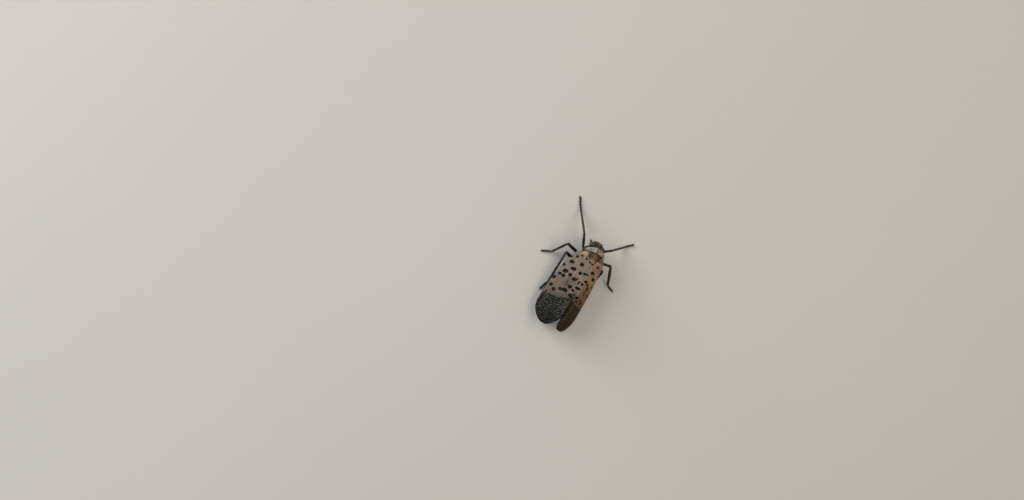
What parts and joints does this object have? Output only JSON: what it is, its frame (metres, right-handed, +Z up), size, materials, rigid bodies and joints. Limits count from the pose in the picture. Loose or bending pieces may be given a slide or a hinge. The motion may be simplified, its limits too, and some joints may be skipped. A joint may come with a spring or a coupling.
{
  "type": "spotted lanternfly",
  "caption": "Life-size still model of a winged planthopper at rest, with spotted grey fore wings folded like a roof, red hind wings beneath and long black legs.",
  "frame": {"origin": "on the floor, under the centre of the insect's bounding box", "axes": "+Z up from the floor, -Y the way the head points, +X towards the insect's own left"},
  "size_m": [0.0246, 0.0336, 0.0079],
  "materials": {
    "grey_tan_wing": "matte, waxy",
    "red_hindwing": "matte",
    "grey_brown_cuticle": "matte",
    "black_cuticle": "satin",
    "yellow_banded_abdomen": "satin",
    "eye": "glossy",
    "orange_antenna": "satin",
    "cream_shoulder": "matte"
  },
  "bodies": {
    "root": {"abdomen": "yellow_banded_abdomen", "antenna_left": "orange_antenna", "antenna_right": "orange_antenna", "eye_left": "eye", "eye_right": "eye", "head": "black_cuticle", "hindwing_left": "red_hindwing", "hindwing_right": "red_hindwing", "leg_fore_left_femur": "black_cuticle", "leg_fore_left_tarsus": "black_cuticle", "leg_fore_left_tibia": "black_cuticle", "leg_fore_right_femur": "black_cuticle", "leg_fore_right_tarsus": "black_cuticle", "leg_fore_right_tibia": "black_cuticle", "leg_hind_left_femur": "black_cuticle", "leg_hind_left_tarsus": "black_cuticle", "leg_hind_left_tibia": "black_cuticle", "leg_hind_right_femur": "black_cuticle", "leg_hind_right_tarsus": "black_cuticle", "leg_hind_right_tibia": "black_cuticle", "leg_mid_left_femur": "black_cuticle", "leg_mid_left_tarsus": "black_cuticle", "leg_mid_left_tibia": "black_cuticle", "leg_mid_right_femur": "black_cuticle", "leg_mid_right_tarsus": "black_cuticle", "leg_mid_right_tibia": "black_cuticle", "mesonotum": "grey_brown_cuticle", "pronotum": "grey_brown_cuticle", "rostrum": "black_cuticle", "tegmen_left": "grey_tan_wing", "tegmen_right": "grey_tan_wing", "tegula_left": "cream_shoulder", "tegula_right": "cream_shoulder", "thorax": "black_cuticle"}
  },
  "joints": []
}
